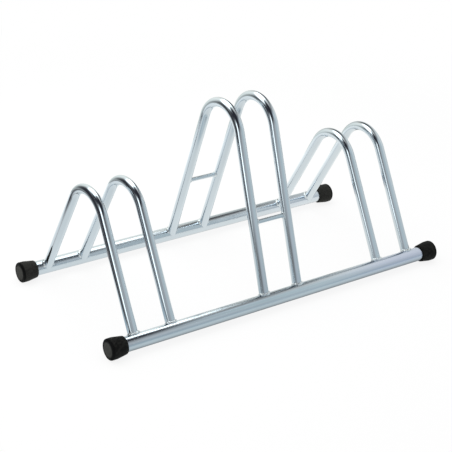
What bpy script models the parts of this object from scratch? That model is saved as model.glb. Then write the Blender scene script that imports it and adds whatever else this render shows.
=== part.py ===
"""Three-place floor rack for bicycles.

Two round rails lie on the floor, front and rear. Three pairs of bent hoops stand
across them, the middle pair taller, and a wheel goes in between the hoops of a pair.
Two short rods tie the legs of the middle pair, and a rubber cap closes each rail end.

Axes: +X along the rails, +Y from the front rail to the rear rail, +Z up.
Origin: on the floor, midway between the rails and between their ends.
"""

import math

import bmesh
import bpy
from mathutils import Matrix, Vector

# Clearance left between two pieces that touch, in metres like every size here
GAP = 0.0003

# Rails
RAIL_DIAMETER = 0.027
RAIL_WALL = 0.0015
RAIL_LENGTH = 0.730
RAIL_SPACING = 0.320

# Hoops, with heights from the floor to the top of the bend
HOOP_DIAMETER = 0.018
HOOP_WALL = 0.0012
BEND_RADIUS = 0.057
LOW_HOOP_HEIGHT = 0.244
TALL_HOOP_HEIGHT = 0.354
LEG_INSET = 0.0045

# Wheel places: clear width between the hoops of a pair, and from each cap's rim to the
# nearest hoop
TYRE_GAP = 0.0575
LEFT_CAP_TO_HOOP = 0.01355
RIGHT_CAP_TO_HOOP = 0.01855

# Rods between the legs of the middle pair
ROD_DIAMETER = 0.008
ROD_HEIGHT = 0.153

# Rubber caps: a cup whose wall thickens from the open rim to the closed end
CAP_LENGTH = 0.0325
CAP_END_THICKNESS = 0.003
CAP_RIM_WALL = 0.0026
CAP_END_WALL = 0.0054
CAP_LAND_LENGTH = 0.009
CAP_EDGE_RADIUS = 0.003
CAP_RIM_RADIUS = 0.0012

# Weld beads
FOOT_BEAD_RADIUS = 0.0034
FOOT_BEAD_SWEEP = math.radians(230)
FOOT_BEAD_END_TAPER = 0.45
FOOT_BEAD_TAPER_POWER = 6
ROD_BEAD_RADIUS = 0.0022

# Facets; a bevel resolution of n gives a tube 2n + 4 sides
RAIL_SIDES = 32
ROD_SIDES = 12
CAP_SIDES = 24
HOOP_RESOLUTION = 6
BEAD_RESOLUTION = 2
BEND_STEPS = 16
BEAD_STEPS = 12
CAP_EDGE_STEPS = 4
CAP_RIM_STEPS = 2
SHARP_ANGLE = math.radians(35)
MERGE_DISTANCE = 0.000003

# Worked out from the driving dimensions
RAIL_RADIUS = RAIL_DIAMETER / 2
HOOP_RADIUS = HOOP_DIAMETER / 2
ROD_RADIUS = ROD_DIAMETER / 2
CAP_BORE_RADIUS = RAIL_RADIUS + GAP
CAP_RIM_OUTER = CAP_BORE_RADIUS + CAP_RIM_WALL
CAP_END_OUTER = CAP_BORE_RADIUS + CAP_END_WALL
RAIL_AXIS_HEIGHT = CAP_END_OUTER * math.cos(math.pi / CAP_SIDES)
CAP_COVER = CAP_LENGTH - CAP_END_THICKNESS - GAP
HOOP_OFFSET = (TYRE_GAP + HOOP_DIAMETER) / 2
CAP_RIM_X = RAIL_LENGTH / 2 - CAP_COVER
LEFT_PLACE_X = -CAP_RIM_X + LEFT_CAP_TO_HOOP + HOOP_RADIUS + HOOP_OFFSET
RIGHT_PLACE_X = CAP_RIM_X - RIGHT_CAP_TO_HOOP - HOOP_RADIUS - HOOP_OFFSET

# Directions of the two rails along Y, and of left and right along X
SIDES = {"front": -1, "rear": 1}
ENDS = {"left": -1, "right": 1}
PLACES = {
    "left": (LEFT_PLACE_X, LOW_HOOP_HEIGHT),
    "middle": (0.0, TALL_HOOP_HEIGHT),
    "right": (RIGHT_PLACE_X, LOW_HOOP_HEIGHT),
}


def clear_scene():
    """Remove every object, so that the model starts from nothing."""
    for old in list(bpy.data.objects):
        bpy.data.objects.remove(old, do_unlink=True)


def make_material(name, colour, metallic, roughness):
    """Principled material with one colour."""
    material = bpy.data.materials.new(name)
    material.use_nodes = True
    shader = material.node_tree.nodes["Principled BSDF"]
    shader.inputs["Base Color"].default_value = (*colour, 1.0)
    shader.inputs["Metallic"].default_value = metallic
    shader.inputs["Roughness"].default_value = roughness
    return material


def add_object(name, data, parent=None, location=(0, 0, 0), rotation=(0, 0, 0)):
    """Link an object, or an empty where there is no data, at a place under its parent."""
    item = bpy.data.objects.new(name, data)
    item.location = location
    item.rotation_euler = rotation
    item.parent = parent
    bpy.context.collection.objects.link(item)
    return item


def mesh_from(shape, name):
    """Turn a bmesh into a smooth shaded mesh that keeps its sharp edges."""
    bmesh.ops.recalc_face_normals(shape, faces=shape.faces)
    mesh = bpy.data.meshes.new(name)
    shape.to_mesh(mesh)
    shape.free()
    mesh.shade_smooth()
    mesh.set_sharp_from_angle(angle=SHARP_ANGLE)
    return mesh


def bar_mesh(name, length, radius, sides, open_ends=False):
    """Round bar along X, centred on its origin."""
    shape = bmesh.new()
    turn = Matrix.Rotation(math.pi / 2, 4, "Y")
    bmesh.ops.create_cone(
        shape, cap_ends=not open_ends, segments=sides, radius1=radius, radius2=radius, depth=length, matrix=turn
    )
    return mesh_from(shape, name)


def swept_mesh(name, points, radius, resolution, scales=None, cyclic=False, open_ends=False):
    """Round section swept along points, by way of a bevelled curve."""
    curve = bpy.data.curves.new(name, "CURVE")
    curve.dimensions = "3D"
    curve.bevel_depth = radius
    curve.bevel_resolution = resolution
    curve.use_fill_caps = not (open_ends or cyclic)
    spline = curve.splines.new("POLY")
    spline.points.add(len(points) - 1)
    spline.use_cyclic_u = cyclic
    for index, point in enumerate(points):
        spline.points[index].co = (*point, 1.0)
        spline.points[index].radius = scales[index] if scales else 1.0
    guide = add_object(f"{name}_guide", curve)
    shape = bmesh.new()
    shape.from_mesh(guide.to_mesh())
    guide.to_mesh_clear()
    bpy.data.objects.remove(guide, do_unlink=True)
    bmesh.ops.remove_doubles(shape, verts=shape.verts, dist=MERGE_DISTANCE)
    return mesh_from(shape, name)


def turned_mesh(name, profile, sides):
    """Closed shape turned about X; profile points are distance along X and from the axis."""
    shape = bmesh.new()
    facet = math.pi / sides
    start = Vector((0, math.sin(facet), math.cos(facet)))
    verts = [shape.verts.new(Vector((x, 0, 0)) + start * radius) for x, radius in profile]
    edges = [shape.edges.new(pair) for pair in zip(verts, verts[1:])]
    bmesh.ops.spin(
        shape, geom=verts + edges, axis=(1, 0, 0), cent=(0, 0, 0), angle=2 * math.pi, steps=sides, use_merge=True
    )
    bmesh.ops.remove_doubles(shape, verts=shape.verts, dist=MERGE_DISTANCE)
    return mesh_from(shape, name)


def hollow(piece, wall):
    """Give an open tube its wall, inwards."""
    modifier = piece.modifiers.new("wall", "SOLIDIFY")
    modifier.thickness = wall
    modifier.offset = -1
    modifier.use_even_offset = True


def cut(piece, cutter):
    """Cut one object away from another."""
    modifier = piece.modifiers.new(f"clear_of_{cutter.name}", "BOOLEAN")
    modifier.operation = "DIFFERENCE"
    modifier.solver = "EXACT"
    modifier.object = cutter


def add_cutter(name, data, parent):
    """Solid one clearance larger than its parent, which shapes what seats on the parent."""
    cutter = add_object(f"{name}_clearance", data, parent)
    cutter.hide_render = True
    cutter.display_type = "WIRE"
    return cutter


class HoopLine:
    """Centre line of a hoop in the YZ plane, from the rear foot over the bend to the front."""

    def __init__(self, height):
        self.bend_z = height - HOOP_RADIUS - BEND_RADIUS
        self.foot = Vector((0, RAIL_SPACING / 2 - LEG_INSET, RAIL_AXIS_HEIGHT))
        rise = self.bend_z - RAIL_AXIS_HEIGHT
        reach = math.hypot(self.foot.y, rise)
        self.lean = math.atan2(rise, -self.foot.y) - math.asin(BEND_RADIUS / reach)
        self.up = Vector((0, math.cos(self.lean), math.sin(self.lean)))
        self.out = Vector((0, math.sin(self.lean), -math.cos(self.lean)))

    def at_height(self, height):
        """Point of the rear leg's axis at a height above the floor."""
        return self.foot + self.up * ((height - self.foot.z) / self.up.z)

    def points(self):
        """Both feet, and the bend between them as an arc."""
        first = self.lean - math.pi / 2
        arc = []
        for step in range(BEND_STEPS + 1):
            angle = first + (math.pi - 2 * first) * step / BEND_STEPS
            arc.append(Vector((0, BEND_RADIUS * math.cos(angle), self.bend_z + BEND_RADIUS * math.sin(angle))))
        front_foot = Vector((0, -self.foot.y, self.foot.z))
        return [self.foot, *arc, front_foot]

    def saddle(self, angle):
        """Where the rear leg's surface meets the rail's; angle 0 faces away from the hoop."""
        start = self.foot + HOOP_RADIUS * (math.cos(angle) * self.out + math.sin(angle) * Vector((1, 0, 0)))
        offset = start - Vector((start.x, RAIL_SPACING / 2, RAIL_AXIS_HEIGHT))
        along = offset.dot(self.up)
        rise = -along + math.sqrt(along ** 2 - offset.length_squared + RAIL_RADIUS ** 2)
        return start + rise * self.up


def cap_profile():
    """Section of a cap from its outer face round the rim to the bottom of its bore."""
    face = CAP_END_THICKNESS + GAP
    edge_x = face - CAP_EDGE_RADIUS
    edge_r = CAP_END_OUTER - CAP_EDGE_RADIUS
    rim_x = -CAP_COVER
    rim_r = CAP_RIM_OUTER - CAP_RIM_RADIUS
    points = [(face, 0.0)]
    for step in range(CAP_EDGE_STEPS + 1):
        angle = math.pi / 2 * step / CAP_EDGE_STEPS
        points.append((edge_x + CAP_EDGE_RADIUS * math.cos(angle), edge_r + CAP_EDGE_RADIUS * math.sin(angle)))
    points.append((edge_x - CAP_LAND_LENGTH, CAP_END_OUTER))
    for step in range(CAP_RIM_STEPS + 1):
        angle = math.pi / 2 * step / CAP_RIM_STEPS
        x = rim_x + CAP_RIM_RADIUS * (1 - math.sin(angle))
        points.append((x, rim_r + CAP_RIM_RADIUS * math.cos(angle)))
    points += [(rim_x, CAP_BORE_RADIUS), (GAP, CAP_BORE_RADIUS), (GAP, 0.0)]
    return points


def foot_bead_mesh(name, line):
    """Bead round the outer side of a rear foot, thinner towards its two ends."""
    points = []
    scales = []
    for step in range(BEAD_STEPS + 1):
        share = 2 * step / BEAD_STEPS - 1
        points.append(line.saddle(share * FOOT_BEAD_SWEEP / 2))
        scales.append(1 - FOOT_BEAD_END_TAPER * share ** FOOT_BEAD_TAPER_POWER)
    return swept_mesh(name, points, FOOT_BEAD_RADIUS, BEAD_RESOLUTION, scales=scales)


def rod_bead_mesh(name):
    """Bead all round a rod that comes from -X and meets an upright leg at the origin."""
    points = []
    for step in range(BEAD_STEPS):
        angle = 2 * math.pi * step / BEAD_STEPS
        y = ROD_RADIUS * math.cos(angle)
        points.append(Vector((-math.sqrt(HOOP_RADIUS ** 2 - y ** 2), y, ROD_RADIUS * math.sin(angle))))
    return swept_mesh(name, points, ROD_BEAD_RADIUS, BEAD_RESOLUTION, cyclic=True)


def make_rails(rack, zinc, rubber):
    """Both rails with their end caps; returns the solid that clears each rail."""
    tube = bar_mesh("rail_tube", RAIL_LENGTH, RAIL_RADIUS, RAIL_SIDES, open_ends=True)
    tube.materials.append(zinc)
    clear_bar = bar_mesh("rail_clearance", RAIL_LENGTH, RAIL_RADIUS + GAP, RAIL_SIDES)
    cap = turned_mesh("end_cap", cap_profile(), CAP_SIDES)
    cap.materials.append(rubber)
    cutters = {}
    for side, direction in SIDES.items():
        place = (0, direction * RAIL_SPACING / 2, RAIL_AXIS_HEIGHT)
        rail = add_object(f"{side}_rail", tube, rack, place)
        hollow(rail, RAIL_WALL)
        cutters[side] = add_cutter(f"{side}_rail", clear_bar, rail)
        for end, along in ENDS.items():
            turn = 0 if along > 0 else math.pi
            add_object(f"{side}_{end}_cap", cap, rail, (along * RAIL_LENGTH / 2, 0, 0), (0, 0, turn))
    return cutters


def make_hoop_pair(place_name, place, line, rail_cutters, zinc, weld):
    """Two hoops of a wheel place with the weld beads at their feet."""
    tube = swept_mesh(f"{place_name}_hoop_tube", line.points(), HOOP_RADIUS, HOOP_RESOLUTION, open_ends=True)
    tube.materials.append(zinc)
    clear_tube = swept_mesh(f"{place_name}_hoop_clearance", line.points(), HOOP_RADIUS + GAP, HOOP_RESOLUTION)
    bead = foot_bead_mesh(f"{place_name}_foot_bead", line)
    bead.materials.append(weld)
    cutters = {}
    for end, along in ENDS.items():
        name = f"{place_name}_place_{end}_hoop"
        hoop = add_object(name, tube, place, (along * HOOP_OFFSET, 0, 0))
        hollow(hoop, HOOP_WALL)
        cutters[end] = add_cutter(name, clear_tube, hoop)
        for side, direction in SIDES.items():
            cut(hoop, rail_cutters[side])
            turn = 0 if direction > 0 else math.pi
            foot_bead = add_object(f"{name}_{side}_weld", bead, hoop, rotation=(0, 0, turn))
            cut(foot_bead, rail_cutters[side])
            cut(foot_bead, cutters[end])
    return cutters


def make_tie_rods(place, line, hoop_cutters, zinc, weld):
    """Rods between the legs of the middle pair, with a weld bead at each end."""
    bar = bar_mesh("tie_rod_bar", 2 * HOOP_OFFSET, ROD_RADIUS, ROD_SIDES)
    bar.materials.append(zinc)
    clear_bar = bar_mesh("tie_rod_clearance", 2 * HOOP_OFFSET, ROD_RADIUS + GAP, ROD_SIDES)
    bead = rod_bead_mesh("tie_rod_bead")
    bead.materials.append(weld)
    seat = line.at_height(ROD_HEIGHT)
    tilt = line.lean - math.pi / 2
    for side, direction in SIDES.items():
        rod = add_object(f"{side}_tie_rod", bar, place, (0, direction * seat.y, seat.z))
        rod_cutter = add_cutter(f"{side}_tie_rod", clear_bar, rod)
        for end, along in ENDS.items():
            cut(rod, hoop_cutters[end])
            turn = 0 if along > 0 else math.pi
            rotation = (direction * along * tilt, 0, turn)
            rod_bead = add_object(f"{side}_tie_rod_{end}_weld", bead, rod, (along * HOOP_OFFSET, 0, 0), rotation)
            cut(rod_bead, rod_cutter)
            cut(rod_bead, hoop_cutters[end])


def build():
    """Make every piece of the rack."""
    clear_scene()
    rail_zinc = make_material("rail_zinc", (0.60, 0.66, 0.72), 1.0, 0.22)
    hoop_zinc = make_material("hoop_zinc", (0.62, 0.67, 0.73), 1.0, 0.20)
    rod_zinc = make_material("rod_zinc", (0.52, 0.56, 0.60), 1.0, 0.30)
    weld_zinc = make_material("weld_zinc", (0.50, 0.54, 0.57), 1.0, 0.38)
    black_rubber = make_material("black_rubber", (0.018, 0.018, 0.017), 0.0, 0.60)

    rack = add_object("rack", None)
    rail_cutters = make_rails(rack, rail_zinc, black_rubber)
    for name, (middle_x, height) in PLACES.items():
        place = add_object(f"{name}_place", None, rack, (middle_x, 0, 0))
        line = HoopLine(height)
        hoop_cutters = make_hoop_pair(name, place, line, rail_cutters, hoop_zinc, weld_zinc)
        if name == "middle":
            make_tie_rods(place, line, hoop_cutters, rod_zinc, weld_zinc)


build()
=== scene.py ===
"""Finish of a three-place bicycle floor rack in bright zinc plated tube.

Every solid of the rack gets a finer piece in the same place: rails and bent hoops with
their walls, tie rods, rippled weld beads and moulded rubber caps. The stage is a pale
floor. A small light tent, which only reflections see, gives the metal its bright and dark
bands.
"""

import math
from typing import NamedTuple

import bmesh
import bpy
from bpy.props import FloatProperty, FloatVectorProperty, IntProperty, PointerProperty
from bpy.types import Operator, Panel, PropertyGroup
from mathutils import Euler, Matrix, Vector


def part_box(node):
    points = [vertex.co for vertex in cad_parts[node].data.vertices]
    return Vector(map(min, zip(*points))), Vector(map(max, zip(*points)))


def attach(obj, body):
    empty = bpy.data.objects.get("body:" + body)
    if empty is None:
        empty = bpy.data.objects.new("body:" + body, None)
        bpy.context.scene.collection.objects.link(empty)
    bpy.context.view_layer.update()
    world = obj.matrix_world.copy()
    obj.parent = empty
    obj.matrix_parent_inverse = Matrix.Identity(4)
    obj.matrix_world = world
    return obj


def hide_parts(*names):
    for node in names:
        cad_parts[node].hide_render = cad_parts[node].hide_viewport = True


bl_info = {
    "name": "Bicycle Floor Rack",
    "version": (1, 0, 0),
    "blender": (4, 5, 0),
    "location": "3D View > Sidebar > Floor Rack",
    "description": "Builds the tubes, weld beads, rubber caps and stage of a bicycle floor rack",
    "category": "Object",
}

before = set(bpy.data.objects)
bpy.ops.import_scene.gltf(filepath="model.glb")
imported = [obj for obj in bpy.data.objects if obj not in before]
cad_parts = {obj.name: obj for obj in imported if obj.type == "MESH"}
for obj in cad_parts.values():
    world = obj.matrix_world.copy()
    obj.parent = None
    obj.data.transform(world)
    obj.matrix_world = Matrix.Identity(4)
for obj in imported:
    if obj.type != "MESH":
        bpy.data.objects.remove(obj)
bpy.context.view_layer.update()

SIDES = {"front": -1, "rear": 1}
ENDS = {"left": -1, "right": 1}
PLACES = ("left", "middle", "right")

# Facets round a piece, and steps along its bend, rounding or bead
TUBE_SIDES = 64
ROD_SIDES = 32
BEAD_SIDES = 14
BEND_STEPS = 48
LIP_STEPS = 3
CAP_EDGE_STEPS = 8
CAP_RIM_STEPS = 5
FOOT_BEAD_STEPS = 32
ROD_BEAD_STEPS = 24
STEPS_IN_RIPPLE = 10

# Edges bent further than this stay sharp, and points nearer than this become one
SHARP_ANGLE = math.radians(32)
MERGE_DISTANCE = 0.000002

# Length of the cylinder that shapes a hoop's foot, in radii of the hoop's tube
SEAT_LENGTH = 6

# Powers that keep the hollows between a bead's ripples narrow and its thinning near its ends
RIPPLE_POWER = 0.7
TAPER_POWER = 6

# Attribute of a drawn tube or rod: place in its section, then length along it. The plating's
# streaks follow it, squeezed lengthwise so that they run long.
DRAWN = "drawn"
STREAK_SQUEEZE = (1.0, 1.0, 0.012)

# Relief of the finishes, in metres
STREAK_HEIGHT = 0.00014
WAVE_HEIGHT = 0.00005
FROST_HEIGHT = 0.0002
GRAIN_HEIGHT = 0.0002

# Fineness of what is uneven in the finishes and on the beads, in patches a metre
TINT_FINENESS = 14.0
WAVE_FINENESS = 22.0
HAZE_FINENESS = 90.0
STAIN_FINENESS = 150.0
STREAK_FINENESS = 380.0
LUMP_FINENESS = 130.0
PIT_FINENESS = 260.0
FROST_FINENESS = 600.0
MOTTLE_FINENESS = 200.0
FACE_GRAIN_FINENESS = 420.0
GRAIN_FINENESS = 1100.0

# Where the violet stain comes in, as shares of a rail's length to the right of its middle
STAIN_RANGE = (0.1, 0.4)

# Distances from a cap's face, and shares of a rail's radius, over which the cap's bloom and painted sheen
# fade; the dark ring left between face and sides is painted shade
FACE_SHEEN_RANGE = (0.0009, 0.0002)
SIDE_BLOOM_RANGE = (0.0030, 0.0050)
MIDDLE_SHEEN_RANGE = (1.15, 0.85)

# Specular level of the dull rubber
RUBBER_SPECULAR = 0.07

# The photograph's frame, and a camera in round values at which the rack's outlines match it
PHOTO_SIDE = 452
FOCAL_PIXELS = 1270
CAMERA_SENSOR_MM = 36.0
CAMERA_AZIMUTH = math.radians(-36.5)
CAMERA_ELEVATION = math.radians(25.5)
CAMERA_ROLL = math.radians(2.8)
CAMERA_DISTANCE = 2.384
CAMERA_TARGET = Vector((-0.018, 0.0, 0.0975))
CAMERA_CLIP = (0.05, 50.0)


def box_middle(node):
    """Centre of a solid's box."""
    low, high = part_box(node)
    return (low + high) / 2


def box_size(node):
    """Length, depth and height of a solid's box."""
    low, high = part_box(node)
    return high - low


RAIL_RADIUS = box_size("front_rail").z / 2
RAIL_LENGTH = box_size("front_rail").x
RAIL_Y = box_middle("rear_rail").y
RAIL_Z = box_middle("rear_rail").z
HOOP_RADIUS = box_size("left_place_left_hoop").x / 2
ROD_RADIUS = box_size("front_tie_rod").z / 2
CAP_LENGTH = box_size("front_left_cap").x
CAP_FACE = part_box("front_right_cap")[1].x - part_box("front_rail")[1].x


class RackSizes(PropertyGroup):
    """Sizes of the rack that its outside boxes don't give."""

    clearance: FloatProperty(
        name="Clearance", description="Gap between a piece and what it seats on",
        default=0.0003, min=0.0, unit="LENGTH", precision=5,
    )
    rail_wall: FloatProperty(
        name="Rail wall", description="Wall of the rail tube",
        default=0.0015, unit="LENGTH", precision=4,
    )
    hoop_wall: FloatProperty(
        name="Hoop wall", description="Wall of the hoop tube",
        default=0.0012, unit="LENGTH", precision=4,
    )
    bend_radius: FloatProperty(
        name="Bend radius", description="Radius of a hoop's bend at the tube's centre line",
        default=0.057, unit="LENGTH", precision=4,
    )
    leg_inset: FloatProperty(
        name="Leg inset", description="How far inside the rail's centre line a leg's own one meets it",
        default=0.0045, unit="LENGTH", precision=4,
    )
    lip_radius: FloatProperty(
        name="Lip radius", description="Rounding of a rail's cut end",
        default=0.0003, unit="LENGTH", precision=5,
    )


class CapSizes(PropertyGroup):
    """Section of a rubber end cap."""

    rim_wall: FloatProperty(
        name="Rim wall", description="Wall at the open rim",
        default=0.0026, unit="LENGTH", precision=4,
    )
    end_wall: FloatProperty(
        name="End wall", description="Wall at the closed end",
        default=0.0054, unit="LENGTH", precision=4,
    )
    end_thickness: FloatProperty(
        name="End thickness", description="Thickness of the closed end",
        default=0.003, unit="LENGTH", precision=4,
    )
    land: FloatProperty(
        name="Land", description="Straight length before the taper",
        default=0.009, unit="LENGTH", precision=4,
    )
    edge_radius: FloatProperty(
        name="Edge radius", description="Rounding round the closed end",
        default=0.003, unit="LENGTH", precision=4,
    )
    rim_radius: FloatProperty(
        name="Rim radius", description="Rounding of the open rim",
        default=0.0022, unit="LENGTH", precision=4,
    )


class WeldSizes(PropertyGroup):
    """Shape of the weld beads."""

    foot_radius: FloatProperty(
        name="Foot bead radius", description="Half thickness of the bead at a hoop's foot",
        default=0.0034, unit="LENGTH", precision=4,
    )
    foot_sweep: FloatProperty(
        name="Foot bead sweep", description="How far the bead goes round the foot",
        default=math.radians(230), subtype="ANGLE",
    )
    rod_radius: FloatProperty(
        name="Rod bead radius", description="Half thickness of the bead at a rod's end",
        default=0.0022, unit="LENGTH", precision=4,
    )
    ripple_pitch: FloatProperty(
        name="Ripple pitch", description="Distance between the ripples of a bead",
        default=0.0052, unit="LENGTH", precision=4,
    )
    ripple_depth: FloatProperty(
        name="Ripple depth", description="Share of the bead's radius lost between ripples", default=0.13
    )
    end_taper: FloatProperty(
        name="End taper", description="Share of a foot bead's radius lost at its ends", default=0.45
    )
    lump_height: FloatProperty(
        name="Lump height", description="Unevenness of the bead",
        default=0.0016, unit="LENGTH", precision=5,
    )
    seed: IntProperty(name="Seed", description="Start of the unevenness", default=7)


class RackFinish(PropertyGroup):
    """Colours and gloss."""

    tube_colour: FloatVectorProperty(
        name="Tube colour", description="Zinc plating of the tubes and rods",
        default=(0.63, 0.69, 0.74), subtype="COLOR", min=0, max=1,
    )
    violet_colour: FloatVectorProperty(
        name="Violet colour", description="Stain of the passivated zinc towards the rails' right ends",
        default=(0.60, 0.63, 0.77), subtype="COLOR", min=0, max=1,
    )
    weld_colour: FloatVectorProperty(
        name="Weld colour", description="Zinc over weld metal",
        default=(0.80, 0.83, 0.85), subtype="COLOR", min=0, max=1,
    )
    pit_colour: FloatVectorProperty(
        name="Pit colour", description="Hollows of a weld bead",
        default=(0.07, 0.09, 0.10), subtype="COLOR", min=0, max=1,
    )
    rubber_colour: FloatVectorProperty(
        name="Rubber colour", description="Moulded rubber",
        default=(0.004, 0.004, 0.004), subtype="COLOR", min=0, max=1,
    )
    # Colour of the rubber's bloom, and of the painted sheen on the caps' closed faces
    bloom_and_sheen_colour: FloatVectorProperty(
        name="Bloom colour", description="Dusty bloom on the rubber",
        default=(0.070, 0.071, 0.064), subtype="COLOR", min=0, max=1,
    )
    rail_roughness: FloatProperty(
        name="Rail roughness", description="Dullness of the plated rails", default=0.20, min=0, max=1
    )
    hoop_roughness: FloatProperty(
        name="Hoop roughness", description="Dullness of the plated hoops", default=0.10, min=0, max=1
    )
    rod_roughness: FloatProperty(
        name="Rod roughness", description="Dullness of the plated rods", default=0.15, min=0, max=1
    )
    rubber_roughness: FloatProperty(
        name="Rubber roughness", description="Dullness of the rubber", default=0.5, min=0, max=1
    )


class RackStage(PropertyGroup):
    """Floor, light tent and lamp."""

    floor_side: FloatProperty(
        name="Floor side", description="Length and width of the floor", default=8.0, unit="LENGTH"
    )
    tent_radius: FloatProperty(
        name="Tent radius", description="Radius of the light tent", default=0.85, unit="LENGTH"
    )
    tent_height: FloatProperty(
        name="Tent height", description="Height of the light tent's middle", default=0.10, unit="LENGTH"
    )
    lamp_power: FloatProperty(
        name="Lamp power", description="Power of the soft lamp", default=16.0, unit="POWER"
    )
    lamp_side: FloatProperty(
        name="Lamp side", description="Size of the soft lamp", default=1.6, unit="LENGTH"
    )
    shadow_share: FloatProperty(
        name="Shadow share", description="How much of the rack's shadow the floor shows",
        default=0.14, min=0, max=1,
    )


class Value:
    """Number that a node tree works out; arithmetic on it adds Math nodes."""

    def __init__(self, tree, socket):
        self.tree = tree
        self.socket = socket

    def math(self, operation, *numbers):
        """One Math node on the numbers given."""
        return self.tree.add("ShaderNodeMath", {"operation": operation}, dict(enumerate(numbers)))["Value"]

    def __add__(self, other):
        return self.math("ADD", self, other)

    def __radd__(self, other):
        return self.math("ADD", other, self)

    def __sub__(self, other):
        return self.math("SUBTRACT", self, other)

    def __rsub__(self, other):
        return self.math("SUBTRACT", other, self)

    def __mul__(self, other):
        return self.math("MULTIPLY", self, other)

    def __rmul__(self, other):
        return self.math("MULTIPLY", other, self)

    def __truediv__(self, other):
        return self.math("DIVIDE", self, other)

    def __pow__(self, other):
        return self.math("POWER", self, other)

    def __abs__(self):
        return self.math("ABSOLUTE", self)

    def sine(self):
        """Sine of the number as an angle."""
        return self.math("SINE", self)

    def tanh(self):
        """Number carried softly from -1 to 1."""
        return self.math("TANH", self)


class Made:
    """A node that was added; its outputs are found by name."""

    def __init__(self, tree, node):
        self.tree = tree
        self.node = node

    def __getitem__(self, name):
        found = next(out for out in self.node.outputs if out.enabled and name in (out.name, out.identifier))
        return Value(self.tree, found)


class Tree:
    """A shader or geometry tree that nodes are added to."""

    def __init__(self, node_tree):
        self.nodes = node_tree.nodes
        self.links = node_tree.links

    def add(self, kind, settings=None, inputs=None):
        """Add a node: its settings first, then its sockets' values or links."""
        node = self.nodes.new(kind)
        for name, value in (settings or {}).items():
            setattr(node, name, value)
        for name, value in (inputs or {}).items():
            for item in value if isinstance(value, list) else [value]:
                self.feed(self.input_of(node, name), item)
        return Made(self, node)

    def feed(self, socket, value):
        """Link a value to a socket, or set the socket to it."""
        if isinstance(value, Value):
            self.links.new(value.socket, socket)
        else:
            socket.default_value = value

    @staticmethod
    def input_of(node, name):
        """A node's input by its place, name or identifier."""
        if isinstance(name, int):
            return node.inputs[name]
        return next(put for put in node.inputs if put.enabled and name in (put.identifier, put.name))


def solid_colour(colour):
    """Colour with an alpha of 1."""
    return (*colour[:3], 1.0)


def vector_math(tree, operation, *vectors):
    """One Vector Math node on the vectors given."""
    return tree.add("ShaderNodeVectorMath", {"operation": operation}, dict(enumerate(vectors)))


def scaled(tree, vector, factor):
    """Vector times a number."""
    return tree.add("ShaderNodeVectorMath", {"operation": "SCALE"}, {0: vector, "Scale": factor})["Vector"]


def mix_colour(tree, share, first, second):
    """Colour between two others."""
    inputs = {"Factor": share, "A": first, "B": second}
    return tree.add("ShaderNodeMix", {"data_type": "RGBA"}, inputs)["Result"]


def cloud(tree, where, scale, detail):
    """Smooth noise from 0 to 1, scale being patches a metre."""
    inputs = {"Vector": where, "Scale": scale, "Detail": detail}
    return tree.add("ShaderNodeTexNoise", {}, inputs)["Fac"]


def smooth_step(tree, number, start, end, low=0.0, high=1.0):
    """Number carried from one range to another with soft ends."""
    settings = {"interpolation_type": "SMOOTHSTEP"}
    inputs = {"Value": number, "From Min": start, "From Max": end, "To Min": low, "To Max": high}
    return tree.add("ShaderNodeMapRange", settings, inputs)["Result"]


def new_surface(name, metallic):
    """Material with its tree, its Principled shader and the object's coordinates."""
    material = bpy.data.materials.new(name)
    material.use_nodes = True
    tree = Tree(material.node_tree)
    shader = material.node_tree.nodes["Principled BSDF"]
    shader.inputs["Metallic"].default_value = metallic
    where = tree.add("ShaderNodeTexCoord")["Object"]
    return material, tree, shader, where


def raise_surface(tree, shader, height, distance=1.0, strength=1.0):
    """Give a shader its relief: height times distance, in metres."""
    inputs = {"Strength": strength, "Distance": distance, "Height": height}
    tree.feed(shader.inputs["Normal"], tree.add("ShaderNodeBump", {}, inputs)["Normal"])


def zinc_surface(name, colour, roughness, violet=None):
    """Bright zinc plating: cloudy tint, the streaks and slight waviness of drawn tube, violet stains."""
    material, tree, shader, where = new_surface(name, metallic=1.0)
    section = tree.add("ShaderNodeAttribute", {"attribute_name": DRAWN})["Vector"]
    along = vector_math(tree, "MULTIPLY", section, STREAK_SQUEEZE)["Vector"]
    streaks = cloud(tree, along, STREAK_FINENESS, 2.0)
    tint = cloud(tree, where, TINT_FINENESS, 3.0) + 1.5 * (streaks - 0.5)
    pale = solid_colour([min(1.0, part * 1.05) for part in colour])
    deep = solid_colour([part * 0.93 for part in colour])
    plating = mix_colour(tree, tint, deep, pale)
    if violet:
        axes = tree.add("ShaderNodeSeparateXYZ", {}, {"Vector": where})
        at_right = smooth_step(tree, axes["X"], *(share * RAIL_LENGTH for share in STAIN_RANGE))
        in_front = smooth_step(tree, axes["Y"], RAIL_Y / 2, -RAIL_Y / 2, 0.3, 1.0)
        stain = smooth_step(tree, cloud(tree, along, STAIN_FINENESS, 1.0), 0.35, 0.65, 0.2, 0.8)
        plating = mix_colour(tree, at_right * in_front * stain, plating, solid_colour(violet))
    tree.feed(shader.inputs["Base Color"], plating)
    haze = cloud(tree, where, HAZE_FINENESS, 4.0)
    tree.feed(shader.inputs["Roughness"], roughness + 0.04 * (haze - 0.5) + 0.08 * (streaks - 0.5))
    waves = cloud(tree, where, WAVE_FINENESS, 1.0)
    raise_surface(tree, shader, WAVE_HEIGHT * waves + STREAK_HEIGHT * streaks)
    return material


def weld_surface(name, colour, pits):
    """Zinc over weld metal: a pale frosted bead with a few dark hollows."""
    material, tree, shader, where = new_surface(name, metallic=1.0)
    spots = smooth_step(tree, cloud(tree, where, PIT_FINENESS, 2.0), 0.27, 0.37)
    tree.feed(shader.inputs["Base Color"], mix_colour(tree, spots, solid_colour(pits), solid_colour(colour)))
    tree.feed(shader.inputs["Roughness"], 0.55 - 0.15 * spots)
    raise_surface(tree, shader, cloud(tree, where, FROST_FINENESS, 3.0), FROST_HEIGHT, 0.4)
    return material


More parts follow.
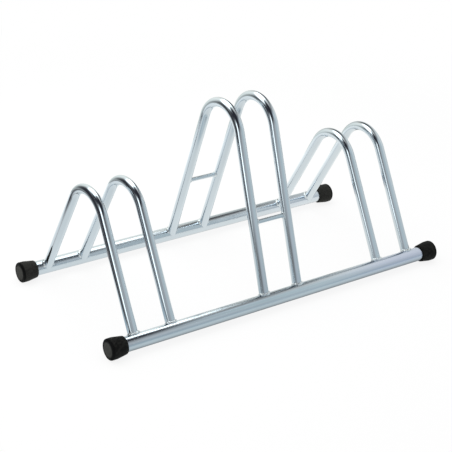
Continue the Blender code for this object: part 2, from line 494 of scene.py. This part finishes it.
def rubber_surface(name, colour, bloom_and_sheen, roughness):
    """Moulded black rubber with mottled bloom: a painted sheen on the closed face, painted shade round its
    edge, and sides lighter on the rear caps.
    """
    material, tree, shader, where = new_surface(name, metallic=0.0)
    shader.inputs["Specular IOR Level"].default_value = RUBBER_SPECULAR
    axes = tree.add("ShaderNodeSeparateXYZ", {}, {"Vector": where})
    face_x = RAIL_LENGTH / 2 + CAP_FACE
    on_face = smooth_step(tree, abs(axes["X"]), *(face_x - depth for depth in FACE_SHEEN_RANGE))
    on_side = smooth_step(tree, abs(axes["X"]), *(face_x - depth for depth in SIDE_BLOOM_RANGE))
    across = (abs(axes["Y"]) - RAIL_Y) ** 2 + (axes["Z"] - RAIL_Z) ** 2
    middle = smooth_step(tree, across ** 0.5, *(RAIL_RADIUS * share for share in MIDDLE_SHEEN_RANGE))
    mottle = smooth_step(tree, cloud(tree, where, MOTTLE_FINENESS, 4.0), 0.40, 0.62)
    at_rear = smooth_step(tree, axes["Y"], -RAIL_Y / 2, RAIL_Y / 2)
    # Painted sheen on the middle of the closed face, painted shade in the ring round its edge, and mottled
    # bloom on the sides, lighter on the rear caps
    bloom_and_sheen_share = on_side * (0.02 + 0.18 * at_rear + 0.12 * mottle) + on_face * middle * (0.55 + 0.25 * mottle)
    tree.feed(shader.inputs["Base Color"], mix_colour(tree, bloom_and_sheen_share, solid_colour(colour), solid_colour(bloom_and_sheen)))
    tree.feed(shader.inputs["Roughness"], roughness + 0.2 * mottle)
    grain = cloud(tree, where, GRAIN_FINENESS, 3.0)
    face_grain = cloud(tree, where, FACE_GRAIN_FINENESS, 4.0)
    raise_surface(tree, shader, grain + 1.5 * on_face * face_grain, GRAIN_HEIGHT, 0.6)
    return material


def material_for(kind):
    """The rack's material of one kind, made once."""
    found = bpy.data.materials.get(kind)
    if found:
        return found
    finish = bpy.context.scene.rack_finish
    makers = {
        "plated_rail": lambda: zinc_surface(
            kind, finish.tube_colour, finish.rail_roughness, finish.violet_colour
        ),
        "plated_hoop": lambda: zinc_surface(kind, finish.tube_colour, finish.hoop_roughness),
        "plated_rod": lambda: zinc_surface(kind, finish.tube_colour, finish.rod_roughness),
        "plated_weld": lambda: weld_surface(kind, finish.weld_colour, finish.pit_colour),
        "moulded_rubber": lambda: rubber_surface(
            kind, finish.rubber_colour, finish.bloom_and_sheen_colour, finish.rubber_roughness
        ),
    }
    return makers[kind]()


def add_object(name, data):
    """Object in the scene, at the origin."""
    item = bpy.data.objects.new(name, data)
    bpy.context.scene.collection.objects.link(item)
    return item


def mesh_object(name, shape):
    """Object at the origin from a bmesh, smooth but for its sharp edges."""
    bmesh.ops.remove_doubles(shape, verts=shape.verts, dist=MERGE_DISTANCE)
    bmesh.ops.recalc_face_normals(shape, faces=shape.faces)
    mesh = bpy.data.meshes.new(name)
    shape.to_mesh(mesh)
    shape.free()
    mesh.shade_smooth()
    mesh.set_sharp_from_angle(angle=SHARP_ANGLE)
    return add_object(name, mesh)


def place_piece(piece, node, material=None):
    """Put a finished piece in a solid's stead on the rack."""
    if material:
        piece.data.materials.clear()
        piece.data.materials.append(material)
    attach(piece, "root")
    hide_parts(node)


def mark_drawn(piece, in_tube):
    """Write on a tube or rod the place that its plating's streaks follow."""
    found = piece.data.attributes.new(DRAWN, "FLOAT_VECTOR", "POINT")
    for vert, item in zip(piece.data.vertices, found.data):
        item.vector = in_tube(vert.co)


def turned_shape(profile, sides, closed):
    """Profile of distance along X and from the axis, turned about X."""
    shape = bmesh.new()
    verts = [shape.verts.new((x, 0.0, radius)) for x, radius in profile]
    edges = [shape.edges.new(pair) for pair in zip(verts, verts[1:])]
    if closed:
        edges.append(shape.edges.new((verts[-1], verts[0])))
    bmesh.ops.spin(
        shape, geom=verts + edges, axis=(1, 0, 0), cent=(0, 0, 0),
        angle=2 * math.pi, steps=sides, use_merge=True,
    )
    return shape


def arc_points(centre_x, centre_r, radius, start, end, steps):
    """Points of an arc in a profile."""
    points = []
    for step in range(steps + 1):
        angle = start + (end - start) * step / steps
        points.append((centre_x + radius * math.cos(angle), centre_r + radius * math.sin(angle)))
    return points


def rail_profile(sizes):
    """Section of a rail tube with rounded lips."""
    half = RAIL_LENGTH / 2 - sizes.lip_radius
    outer = RAIL_RADIUS - sizes.lip_radius
    inner = RAIL_RADIUS - sizes.rail_wall + sizes.lip_radius
    quarter = math.pi / 2
    points = []
    for along, radius, start in (
        (half, outer, quarter), (half, inner, 0.0), (-half, inner, -quarter), (-half, outer, 2 * quarter),
    ):
        points += arc_points(along, radius, sizes.lip_radius, start, start - quarter, LIP_STEPS)
    return points


def cap_profile(rack, cap):
    """Section of a cap from the middle of its closed face, round the rim, to the bottom of its bore."""
    bore = RAIL_RADIUS + rack.clearance
    face = cap.end_thickness + rack.clearance
    rim = face - CAP_LENGTH
    quarter = math.pi / 2
    points = [(face, 0.0)]
    points += arc_points(
        face - cap.edge_radius, bore + cap.end_wall - cap.edge_radius,
        cap.edge_radius, 0.0, quarter, CAP_EDGE_STEPS,
    )
    points.append((face - cap.edge_radius - cap.land, bore + cap.end_wall))
    points += arc_points(
        rim + cap.rim_radius, bore + cap.rim_wall - cap.rim_radius,
        cap.rim_radius, quarter, 2 * quarter, CAP_RIM_STEPS,
    )
    points += [(rim, bore), (rack.clearance, bore), (rack.clearance, 0.0)]
    return points


class HoopLine:
    """Centre line of a hoop: its rear leg and bend in the YZ plane, the front leg being their mirror."""

    def __init__(self, node, rack):
        self.x = box_middle(node).x
        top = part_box(node)[1].z
        bend_z = top - HOOP_RADIUS - rack.bend_radius
        self.foot = Vector((0, RAIL_Y - rack.leg_inset, RAIL_Z))
        rise = bend_z - RAIL_Z
        reach = math.hypot(self.foot.y, rise)
        self.bend_radius = rack.bend_radius
        self.leg_length = math.sqrt(reach ** 2 - self.bend_radius ** 2)
        lean = math.atan2(rise, -self.foot.y) - math.asin(self.bend_radius / reach)
        self.up = Vector((0, math.cos(lean), math.sin(lean)))
        self.out = Vector((0, math.sin(lean), -math.cos(lean)))

    def corners(self):
        """Rear foot, the corner that the bend rounds off, and front foot."""
        peak = self.foot + self.up * (-self.foot.y / self.up.y)
        front = Vector((0, -self.foot.y, self.foot.z))
        return [point + Vector((self.x, 0, 0)) for point in (self.foot, peak, front)]

    def in_tube(self, point):
        """A point's place across the tube and out from the hoop, and its length along from the foot."""
        beside = Vector((0, abs(point.y), point.z)) - self.foot
        middle = self.foot + self.leg_length * self.up - self.bend_radius * self.out
        along = beside.dot(self.up)
        if along <= self.leg_length:
            return Vector((point.x - self.x, beside.dot(self.out), along))
        spoke = beside + self.foot - middle
        turned = self.bend_radius * spoke.angle(self.out)
        return Vector((point.x - self.x, spoke.length - self.bend_radius, self.leg_length + turned))

    def saddle(self, angle):
        """Where the rear leg's surface meets the rail's; angle 0 faces away from the hoop."""
        start = self.foot + HOOP_RADIUS * (math.cos(angle) * self.out + math.sin(angle) * Vector((1, 0, 0)))
        offset = start - Vector((start.x, RAIL_Y, RAIL_Z))
        along = offset.dot(self.up)
        rise = -along + math.sqrt(along ** 2 - offset.length_squared + RAIL_RADIUS ** 2)
        return start + rise * self.up

    def rod_end(self, point, direction, radius):
        """How far right a tie rod ends at a point of its section, on a leg of that radius."""
        across = Vector((0, self.up.z, -direction * self.up.y))
        return self.x - math.sqrt(radius ** 2 - point.dot(across) ** 2)


def new_geometry_tree(name, inputs):
    """Geometry Nodes tree with named inputs: returns the tree, its input values and its group."""
    group = bpy.data.node_groups.new(name, "GeometryNodeTree")
    group.interface.new_socket("Geometry", in_out="INPUT", socket_type="NodeSocketGeometry")
    for label, kind in inputs.items():
        group.interface.new_socket(label, in_out="INPUT", socket_type=kind)
    group.interface.new_socket("Geometry", in_out="OUTPUT", socket_type="NodeSocketGeometry")
    tree = Tree(group)
    start = tree.add("NodeGroupInput")
    values = {label: start[label] for label in ("Geometry", *inputs)}
    return tree, values, group


def round_skin(tree, line, radius, sides, thickness=1.0):
    """Closed round skin along a curve; thickness scales its radius."""
    circle = tree.add("GeometryNodeCurvePrimitiveCircle", {}, {"Resolution": sides, "Radius": radius})
    return tree.add("GeometryNodeCurveToMesh", {}, {
        "Curve": line, "Profile Curve": circle["Curve"], "Scale": thickness, "Fill Caps": True,
    })["Mesh"]


def end_tree(tree, mesh, material):
    """Close a tree with its smooth shading, realized geometry and material."""
    bent = tree.add("GeometryNodeInputMeshEdgeAngle")["Unsigned Angle"]
    sharp = tree.add("FunctionNodeCompare", {"operation": "GREATER_THAN"}, {
        "A": bent, "B": SHARP_ANGLE,
    })["Result"]
    smooth = tree.add("GeometryNodeSetShadeSmooth", {"domain": "FACE"}, {
        "Geometry": mesh, "Shade Smooth": True,
    })
    creased = tree.add("GeometryNodeSetShadeSmooth", {"domain": "EDGE"}, {
        "Geometry": smooth["Geometry"], "Selection": sharp, "Shade Smooth": False,
    })
    real = tree.add("GeometryNodeRealizeInstances", {}, {"Geometry": creased["Geometry"]})
    done = tree.add("GeometryNodeSetMaterial", {}, {"Geometry": real["Geometry"], "Material": material})
    tree.add("NodeGroupOutput", {}, {"Geometry": done["Geometry"]})


def hoop_tree():
    """Tube bent round one corner, its ends shaped to the two rails."""
    found = bpy.data.node_groups.get("bent_hoop")
    if found:
        return found
    tree, value, group = new_geometry_tree("bent_hoop", {
        "Bend Radius": "NodeSocketFloat", "Tube Radius": "NodeSocketFloat", "Wall": "NodeSocketFloat",
        "Rail Seat Radius": "NodeSocketFloat", "Rail Y": "NodeSocketFloat", "Rail Z": "NodeSocketFloat",
        "Middle X": "NodeSocketFloat", "Sides": "NodeSocketInt", "Bend Steps": "NodeSocketInt",
        "Material": "NodeSocketMaterial",
    })
    line = tree.add("GeometryNodeFilletCurve", {"mode": "POLY"}, {
        "Curve": value["Geometry"], "Count": value["Bend Steps"], "Radius": value["Bend Radius"],
    })["Curve"]
    outer = round_skin(tree, line, value["Tube Radius"], value["Sides"])
    inner = round_skin(tree, line, value["Tube Radius"] - value["Wall"], value["Sides"])
    seat = tree.add("GeometryNodeMeshCylinder", {}, {
        "Vertices": TUBE_SIDES, "Radius": value["Rail Seat Radius"],
        "Depth": SEAT_LENGTH * value["Tube Radius"],
    })["Mesh"]
    seats = []
    for direction in SIDES.values():
        spot = tree.add("ShaderNodeCombineXYZ", {}, {
            "X": value["Middle X"], "Y": direction * value["Rail Y"], "Z": value["Rail Z"],
        })["Vector"]
        turned = tree.add("GeometryNodeTransform", {}, {
            "Geometry": seat, "Translation": spot, "Rotation": Euler((0, math.pi / 2, 0)),
        })
        seats.append(turned["Geometry"])
    tube = tree.add("GeometryNodeMeshBoolean", {"operation": "DIFFERENCE", "solver": "EXACT"}, {
        "Mesh 1": outer, "Mesh 2": [inner, *seats],
    })["Mesh"]
    end_tree(tree, tube, value["Material"])
    return group


def bead_tree():
    """Weld bead along a line, with ripples, lumps and thinner ends."""
    found = bpy.data.node_groups.get("weld_bead")
    if found:
        return found
    tree, value, group = new_geometry_tree("weld_bead", {
        "Bead Radius": "NodeSocketFloat", "Ripple Pitch": "NodeSocketFloat",
        "Ripple Depth": "NodeSocketFloat", "Lump Height": "NodeSocketFloat", "End Taper": "NodeSocketFloat",
        "Seed": "NodeSocketInt", "Sides": "NodeSocketInt", "Material": "NodeSocketMaterial",
    })
    line = tree.add("GeometryNodeResampleCurve", {"mode": "LENGTH"}, {
        "Curve": value["Geometry"], "Length": value["Ripple Pitch"] / STEPS_IN_RIPPLE,
    })["Curve"]
    along = tree.add("GeometryNodeSplineParameter")
    ripple = abs((along["Length"] * math.pi / value["Ripple Pitch"]).sine())
    hollow = value["Ripple Depth"] * (1 - ripple ** RIPPLE_POWER)
    near_end = abs(2 * along["Factor"] - 1)
    thickness = (1 - hollow) * (1 - value["End Taper"] * near_end ** TAPER_POWER)
    skin = round_skin(tree, line, value["Bead Radius"], value["Sides"], thickness)
    where = tree.add("GeometryNodeInputPosition")["Position"]
    lumps = tree.add("ShaderNodeTexNoise", {"noise_dimensions": "4D"}, {
        "Vector": where, "W": value["Seed"], "Scale": LUMP_FINENESS, "Detail": 1.0,
    })["Fac"]
    outward = tree.add("GeometryNodeInputNormal")["Normal"]
    push = scaled(tree, outward, (lumps - 0.5) * 2 * value["Lump Height"])
    lumpy = tree.add("GeometryNodeSetPosition", {}, {"Geometry": skin, "Offset": push})["Geometry"]
    end_tree(tree, lumpy, value["Material"])
    return group


def grow_along(name, points, group, values, cyclic=False):
    """Piece that a geometry tree makes along a line of points, as a plain mesh at the origin."""
    curve = bpy.data.curves.new(f"{name}_line", "CURVE")
    curve.dimensions = "3D"
    spline = curve.splines.new("POLY")
    spline.points.add(len(points) - 1)
    spline.use_cyclic_u = cyclic
    for spot, point in zip(spline.points, points):
        spot.co = (*point, 1.0)
    line = add_object(f"{name}_line", curve)
    modifier = line.modifiers.new(name, "NODES")
    modifier.node_group = group
    for item in group.interface.items_tree:
        if item.in_out == "INPUT" and item.name in values:
            modifier[item.identifier] = values[item.name]
    bpy.context.view_layer.update()
    shown = line.evaluated_get(bpy.context.evaluated_depsgraph_get())
    mesh = bpy.data.meshes.new_from_object(shown)
    mesh.name = name
    line.modifiers.clear()
    bpy.data.objects.remove(line, do_unlink=True)
    if not mesh.polygons:
        raise RuntimeError(f"the tree {group.name} made nothing for {name}")
    return add_object(name, mesh)


def hoop_nodes():
    """Names of the six hoops."""
    return [f"{place}_place_{end}_hoop" for place in PLACES for end in ENDS]


class RACK_OT_rails(Operator):
    """Make the two rails as tubes with rounded lips"""

    bl_idname = "rack.rails"
    bl_label = "Rails"

    def execute(self, context):
        profile = rail_profile(context.scene.rack_sizes)
        for side in SIDES:
            node = f"{side}_rail"
            shape = turned_shape(profile, TUBE_SIDES, closed=True)
            middle = box_middle(node)
            bmesh.ops.translate(shape, verts=shape.verts, vec=middle)
            piece = mesh_object(f"{node}_tube", shape)
            mark_drawn(piece, lambda point: (point - middle).zyx)
            place_piece(piece, node, material_for("plated_rail"))
        return {"FINISHED"}


class RACK_OT_hoops(Operator):
    """Make the six bent hoops, shaped to the rails at their feet"""

    bl_idname = "rack.hoops"
    bl_label = "Hoops"

    def execute(self, context):
        rack = context.scene.rack_sizes
        for node in hoop_nodes():
            line = HoopLine(node, rack)
            piece = grow_along(f"{node}_tube", line.corners(), hoop_tree(), {
                "Bend Radius": rack.bend_radius, "Tube Radius": HOOP_RADIUS, "Wall": rack.hoop_wall,
                "Rail Seat Radius": RAIL_RADIUS + rack.clearance, "Rail Y": RAIL_Y, "Rail Z": RAIL_Z,
                "Middle X": line.x, "Sides": TUBE_SIDES, "Bend Steps": BEND_STEPS,
                "Material": material_for("plated_hoop"),
            })
            mark_drawn(piece, line.in_tube)
            place_piece(piece, node)
        return {"FINISHED"}


class RACK_OT_tie_rods(Operator):
    """Make the two tie rods, their ends shaped to the legs that they join"""

    bl_idname = "rack.tie_rods"
    bl_label = "Tie Rods"

    def execute(self, context):
        rack = context.scene.rack_sizes
        line = HoopLine("middle_place_right_hoop", rack)
        seat_radius = HOOP_RADIUS + rack.clearance
        for side, direction in SIDES.items():
            node = f"{side}_tie_rod"
            middle = box_middle(node)
            profile = [(-line.x, 0.0), (-line.x, ROD_RADIUS), (line.x, ROD_RADIUS), (line.x, 0.0)]
            shape = turned_shape(profile, ROD_SIDES, closed=False)
            for vert in shape.verts:
                vert.co.x = math.copysign(line.rod_end(vert.co, direction, seat_radius), vert.co.x)
            bmesh.ops.translate(shape, verts=shape.verts, vec=middle)
            piece = mesh_object(f"{node}_bar", shape)
            mark_drawn(piece, lambda point: (point - middle).zyx)
            place_piece(piece, node, material_for("plated_rod"))
        return {"FINISHED"}


class RACK_OT_end_caps(Operator):
    """Make the four rubber end caps"""

    bl_idname = "rack.end_caps"
    bl_label = "End Caps"

    def execute(self, context):
        scene = context.scene
        profile = cap_profile(scene.rack_sizes, scene.rack_caps)
        for side in SIDES:
            for end, along in ENDS.items():
                node = f"{side}_{end}_cap"
                shape = turned_shape(profile, TUBE_SIDES, closed=False)
                if along < 0:
                    bmesh.ops.rotate(shape, verts=shape.verts, matrix=Matrix.Rotation(math.pi, 3, "Z"))
                spot = box_middle(f"{side}_rail") + Vector((along * RAIL_LENGTH / 2, 0, 0))
                bmesh.ops.translate(shape, verts=shape.verts, vec=spot)
                piece = mesh_object(f"{node}_moulding", shape)
                place_piece(piece, node, material_for("moulded_rubber"))
        return {"FINISHED"}


class RACK_OT_weld_beads(Operator):
    """Make the weld beads at the feet of the hoops and at the ends of the rods"""

    bl_idname = "rack.weld_beads"
    bl_label = "Weld Beads"

    def bead(self, context, node, points, radius, seed, cyclic=False):
        """One bead along its line, thinner at its ends where it has any."""
        weld = context.scene.rack_welds
        piece = grow_along(f"{node}_bead", points, bead_tree(), {
            "Bead Radius": radius, "Ripple Pitch": weld.ripple_pitch, "Ripple Depth": weld.ripple_depth,
            "Lump Height": weld.lump_height * radius / weld.foot_radius,
            "End Taper": 0.0 if cyclic else weld.end_taper, "Seed": weld.seed + seed,
            "Sides": BEAD_SIDES, "Material": material_for("plated_weld"),
        }, cyclic)
        place_piece(piece, node)

    def foot_points(self, line, direction, sweep):
        """Line where a foot meets its rail, round the foot's outer side."""
        points = []
        for step in range(FOOT_BEAD_STEPS + 1):
            point = line.saddle((step / FOOT_BEAD_STEPS - 0.5) * sweep)
            points.append(Vector((line.x + point.x, direction * point.y, point.z)))
        return points

    def rod_points(self, line, direction, along, middle):
        """Line where a rod meets its leg."""
        points = []
        for step in range(ROD_BEAD_STEPS):
            angle = 2 * math.pi * step / ROD_BEAD_STEPS
            point = ROD_RADIUS * Vector((0, math.cos(angle), math.sin(angle)))
            point.x = along * line.rod_end(point, direction, HOOP_RADIUS)
            points.append(middle + point)
        return points

    def execute(self, context):
        rack = context.scene.rack_sizes
        weld = context.scene.rack_welds
        seed = 0
        for hoop in hoop_nodes():
            line = HoopLine(hoop, rack)
            for side, direction in SIDES.items():
                seed += 1
                points = self.foot_points(line, direction, weld.foot_sweep)
                self.bead(context, f"{hoop}_{side}_weld", points, weld.foot_radius, seed)
        line = HoopLine("middle_place_right_hoop", rack)
        for side, direction in SIDES.items():
            for end, along in ENDS.items():
                seed += 1
                points = self.rod_points(line, direction, along, box_middle(f"{side}_tie_rod"))
                node = f"{side}_tie_rod_{end}_weld"
                self.bead(context, node, points, weld.rod_radius, seed, cyclic=True)
        return {"FINISHED"}


class PanelOfLight(NamedTuple):
    """Soft-edged lamp or dark flag on the tent: its light, where it hangs, and its size."""

    light: tuple
    azimuth: float
    elevation: float
    turn: float
    width: float
    height: float
    softness: float

    def axes(self):
        """Directions towards the panel, along its width and along its height."""
        azimuth, elevation, turn = map(math.radians, (self.azimuth, self.elevation, self.turn))
        level = math.cos(elevation)
        towards = Vector((level * math.cos(azimuth), level * math.sin(azimuth), math.sin(elevation)))
        along = Matrix.Rotation(turn, 3, towards) @ Vector((-math.sin(azimuth), math.cos(azimuth), 0))
        return towards, along, towards.cross(along)


class CardBand(NamedTuple):
    """Straight band on the floor card: its light, which way it lies, where it starts and its width."""

    light: tuple
    azimuth: float
    start: float
    width: float
    softness: float


# Light tent and floor card, which only reflections see. The cloth's light changes evenly with
# each metre along an axis. Panels and bands are laid in this order, in degrees and metres.
LAMP_WHITE = (3.0, 3.2, 3.2)
FLAG_BLACK = (0.03, 0.03, 0.04)
TENT_CLOTH = (0.70, 0.75, 0.75)
TENT_SLOPE = {"Y": (0.20, 0.20, 0.15), "Z": (0.65, 0.60, 0.55)}
TENT_PANELS = {
    "rear_wall": PanelOfLight((0.95, 0.90, 0.80), 55, 50, -15, 0.50, 0.45, 0.05),
    "front_wall": PanelOfLight((0.59, 0.69, 0.72), -60, 30, -20, 0.55, 0.70, 0.05),
    "opening": PanelOfLight(FLAG_BLACK, -150, 62, -10, 0.90, 0.85, 0.03),
    "left_flag": PanelOfLight(FLAG_BLACK, 170, 13, 65, 0.66, 1.20, 0.05),
    "side_light": PanelOfLight(LAMP_WHITE, -154, 8, 3, 0.12, 0.88, 0.03),
    "low_flag": PanelOfLight((0.20, 0.20, 0.20), -175, -5, 5, 1.50, 0.15, 0.03),
    "roof_gap": PanelOfLight(FLAG_BLACK, 31, 46, 35, 0.30, 0.55, 0.05),
    "front_gap": PanelOfLight(FLAG_BLACK, -25, 63, -10, 1.60, 0.28, 0.10),
    "roof_light": PanelOfLight(LAMP_WHITE, 105, 68, -10, 0.75, 0.42, 0.03),
    "front_fill": PanelOfLight((0.80, 0.90, 0.95), -64, 50, -15, 0.30, 0.24, 0.05),
}
CARD_CLOTH = (0.92, 0.94, 0.92)
CARD_SLOPE = {"X": (0.25, 0.20, 0.15), "Y": (0.45, 0.45, 0.45)}
CARD_BANDS = {
    "front": CardBand((0.47, 0.57, 0.62), -105, RAIL_Y - 0.05, 1.0, 0.010),
    "left": CardBand(FLAG_BLACK, 185, 0.48, 1.0, 0.015),
    # A painted lit strip on the floor before the front rail, and painted shadows of the front and rear rails
    # on the floor
    "painted_light_before_front_rail": CardBand((0.68, 0.75, 0.77), -90, RAIL_Y - 0.06, 0.14, 0.005),
    "painted_shadow_under_front_rail": CardBand((0.25, 0.25, 0.25), -90, RAIL_Y - 0.01, 0.025, 0.005),
    "painted_shadow_under_rear_rail": CardBand((0.40, 0.35, 0.35), 90, RAIL_Y, 0.020, 0.005),
}

# How softly a panel ends at the tent's middle, so that it doesn't show on the far side too
FAR_SIDE_SOFTNESS = 0.02

# Floor, the distances from the rack's middle over which its shadow fades, and the card above it
PAPER_WHITE = (0.9, 0.9, 0.9, 1.0)
PURE_WHITE = (1.0, 1.0, 1.0, 1.0)
SHADOW_RANGE = (0.6, 1.6)
CARD_HEIGHT = 0.0004

# Light that the room gives, 1 being white, and where the lamp hangs
ROOM_LIGHT = 0.75
LAMP_PLACE = Vector((-0.25, 0.45, 1.5))


def soft_side(number, softness):
    """0 well below zero, 1 well above, and soft between."""
    return (number / (2 * softness)).tanh() * 0.5 + 0.5


def panel_share(tree, where, panel):
    """How much of a panel shows at a place on the tent."""
    towards, along, up = (vector_math(tree, "DOT_PRODUCT", where, axis)["Value"] for axis in panel.axes())
    inside = soft_side(panel.width / 2 - abs(along), panel.softness)
    inside = inside * soft_side(panel.height / 2 - abs(up), panel.softness)
    return inside * soft_side(towards, FAR_SIDE_SOFTNESS)


def band_share(tree, where, band):
    """How much of a band shows at a place on the card."""
    azimuth = math.radians(band.azimuth)
    side = (math.cos(azimuth), math.sin(azimuth), 0)
    away = vector_math(tree, "DOT_PRODUCT", where, side)["Value"]
    past_start = soft_side(away - band.start, band.softness)
    return past_start * soft_side(band.start + band.width - away, band.softness)


def empty_surface(name):
    """Material with no nodes yet, and its tree."""
    material = bpy.data.materials.new(name)
    material.use_nodes = True
    material.node_tree.nodes.clear()
    return material, Tree(material.node_tree)


def cloth_surface(name, base, slopes, marks, share_of):
    """Evenly changing light with panels or bands laid on it."""
    material, tree = empty_surface(name)
    material.cycles.emission_sampling = "NONE"
    where = tree.add("ShaderNodeTexCoord")["Object"]
    axes = tree.add("ShaderNodeSeparateXYZ", {}, {"Vector": where})
    light = base
    for axis, slope in slopes.items():
        light = vector_math(tree, "ADD", scaled(tree, slope, axes[axis]), light)["Vector"]
    for mark in marks.values():
        light = mix_colour(tree, share_of(tree, where, mark), light, solid_colour(mark.light))
    glow = tree.add("ShaderNodeEmission", {}, {"Color": light, "Strength": 1.0})["Emission"]
    tree.add("ShaderNodeOutputMaterial", {}, {"Surface": glow})
    return material


def seen_plainly(tree):
    """1 on rays that show a surface to the camera, straight, mirrored or through glass, else 0."""
    path = tree.add("ShaderNodeLightPath")
    seen = path["Is Camera Ray"] + path["Is Glossy Ray"] + path["Is Transmission Ray"]
    return seen.math("MINIMUM", seen, 1.0)


def floor_surface(shadow_share):
    """White floor that keeps the rack's shadow near it, and is plain white further away."""
    material, tree = empty_surface("white_floor")
    paper = tree.add("ShaderNodeBsdfDiffuse", {}, {"Color": PAPER_WHITE})["BSDF"]
    glow = tree.add("ShaderNodeEmission", {}, {"Color": PURE_WHITE, "Strength": 1.0})["Emission"]
    away = vector_math(tree, "LENGTH", tree.add("ShaderNodeTexCoord")["Object"])["Value"]
    shadow = smooth_step(tree, away, *SHADOW_RANGE, shadow_share, 0.0)
    share = seen_plainly(tree) * (1.0 - shadow)
    both = tree.add("ShaderNodeMixShader", {}, {0: share, 1: paper, 2: glow})["Shader"]
    tree.add("ShaderNodeOutputMaterial", {}, {"Surface": both})
    return material


def white_world():
    """Plain even light, white where the camera looks past the floor; the metal sees the tent instead."""
    world = bpy.data.worlds.new("white_room")
    world.use_nodes = True
    world.cycles_visibility.glossy = False
    world.node_tree.nodes.clear()
    tree = Tree(world.node_tree)
    strength = ROOM_LIGHT + (1.0 - ROOM_LIGHT) * seen_plainly(tree)
    glow = tree.add("ShaderNodeBackground", {}, {"Color": PURE_WHITE, "Strength": strength})["Background"]
    tree.add("ShaderNodeOutputWorld", {}, {"Surface": glow})
    return world


class RACK_OT_stage(Operator):
    """Make the floor, the light tent, the lamp and the camera"""

    bl_idname = "rack.stage"
    bl_label = "Stage"

    def add_floor(self, stage):
        """Pale floor under the rack."""
        shape = bmesh.new()
        bmesh.ops.create_grid(shape, x_segments=8, y_segments=8, size=stage.floor_side / 2)
        floor = mesh_object("floor", shape)
        floor.data.materials.append(floor_surface(stage.shadow_share))

    def only_reflected(self, name, shape, material):
        """Stage piece that only reflections see."""
        piece = mesh_object(name, shape)
        piece.data.materials.append(material)
        for ray in ("camera", "diffuse", "shadow", "transmission", "volume_scatter"):
            setattr(piece, f"visible_{ray}", False)
        return piece

    def add_tent(self, stage):
        """Light tent round the rack, and the card under it that darkens towards the front and left, with
        painted shadows under the rails.
        """
        shape = bmesh.new()
        bmesh.ops.create_icosphere(shape, subdivisions=5, radius=stage.tent_radius)
        surface = cloth_surface("tent_cloth", TENT_CLOTH, TENT_SLOPE, TENT_PANELS, panel_share)
        tent = self.only_reflected("light_tent", shape, surface)
        tent.location = (0, 0, stage.tent_height)
        shape = bmesh.new()
        bmesh.ops.create_grid(shape, x_segments=4, y_segments=4, size=stage.tent_radius)
        surface = cloth_surface("card_cloth", CARD_CLOTH, CARD_SLOPE, CARD_BANDS, band_share)
        card = self.only_reflected("floor_card", shape, surface)
        card.location = (0, 0, CARD_HEIGHT)

    def add_lamp(self, stage):
        """Wide soft lamp above and behind the rack."""
        light = bpy.data.lights.new("soft_lamp", "AREA")
        light.size = stage.lamp_side
        light.energy = stage.lamp_power
        lamp = add_object("soft_lamp", light)
        lamp.location = LAMP_PLACE
        lamp.rotation_euler = (-LAMP_PLACE).to_track_quat("-Z", "Y").to_euler()
        lamp.visible_glossy = False
        lamp.visible_camera = False

    def add_camera(self, scene):
        """Camera at the photograph's angle."""
        back = Vector((
            math.sin(CAMERA_AZIMUTH) * math.cos(CAMERA_ELEVATION),
            -math.cos(CAMERA_AZIMUTH) * math.cos(CAMERA_ELEVATION),
            math.sin(CAMERA_ELEVATION),
        ))
        level = Vector((0, 0, 1)).cross(back).normalized()
        rise = back.cross(level)
        right = math.cos(CAMERA_ROLL) * level + math.sin(CAMERA_ROLL) * rise
        up = back.cross(right)
        data = bpy.data.cameras.new("camera")
        data.sensor_width = CAMERA_SENSOR_MM
        data.lens = FOCAL_PIXELS / PHOTO_SIDE * CAMERA_SENSOR_MM
        data.clip_start, data.clip_end = CAMERA_CLIP
        camera = add_object("camera", data)
        turn = Matrix((right, up, back)).transposed().to_4x4()
        camera.matrix_world = Matrix.Translation(CAMERA_TARGET + CAMERA_DISTANCE * back) @ turn
        scene.camera = camera

    def execute(self, context):
        scene = context.scene
        stage = scene.rack_stage
        scene.view_settings.view_transform = "Standard"
        scene.world = white_world()
        self.add_floor(stage)
        self.add_tent(stage)
        self.add_lamp(stage)
        self.add_camera(scene)
        return {"FINISHED"}


class RACK_PT_build(Panel):
    """Lists the pieces of the rack and its stage."""

    bl_label = "Floor Rack"
    bl_idname = "RACK_PT_build"
    bl_space_type = "VIEW_3D"
    bl_region_type = "UI"
    bl_category = "Floor Rack"

    def draw(self, context):
        for operator in OPERATORS:
            self.layout.operator(operator.bl_idname)
        for name in GROUPS:
            settings = getattr(context.scene, name)
            box = self.layout.box()
            for key in settings.bl_rna.properties.keys():
                if key not in ("rna_type", "name"):
                    box.prop(settings, key)


GROUPS = {
    "rack_sizes": RackSizes,
    "rack_caps": CapSizes,
    "rack_welds": WeldSizes,
    "rack_finish": RackFinish,
    "rack_stage": RackStage,
}
OPERATORS = (
    RACK_OT_stage, RACK_OT_rails, RACK_OT_hoops, RACK_OT_tie_rods, RACK_OT_end_caps, RACK_OT_weld_beads,
)


def register():
    """Add the classes and the scene's settings."""
    for item in (*GROUPS.values(), *OPERATORS, RACK_PT_build):
        bpy.utils.register_class(item)
    for name, group in GROUPS.items():
        setattr(bpy.types.Scene, name, PointerProperty(type=group))


def unregister():
    """Take them away again."""
    for name in GROUPS:
        delattr(bpy.types.Scene, name)
    for item in reversed((*GROUPS.values(), *OPERATORS, RACK_PT_build)):
        bpy.utils.unregister_class(item)


def main():
    """Build the stage and every piece in order."""
    register()
    bpy.ops.rack.stage()
    bpy.ops.rack.rails()
    bpy.ops.rack.hoops()
    bpy.ops.rack.tie_rods()
    bpy.ops.rack.end_caps()
    bpy.ops.rack.weld_beads()


if __name__ == "__main__":
    main()
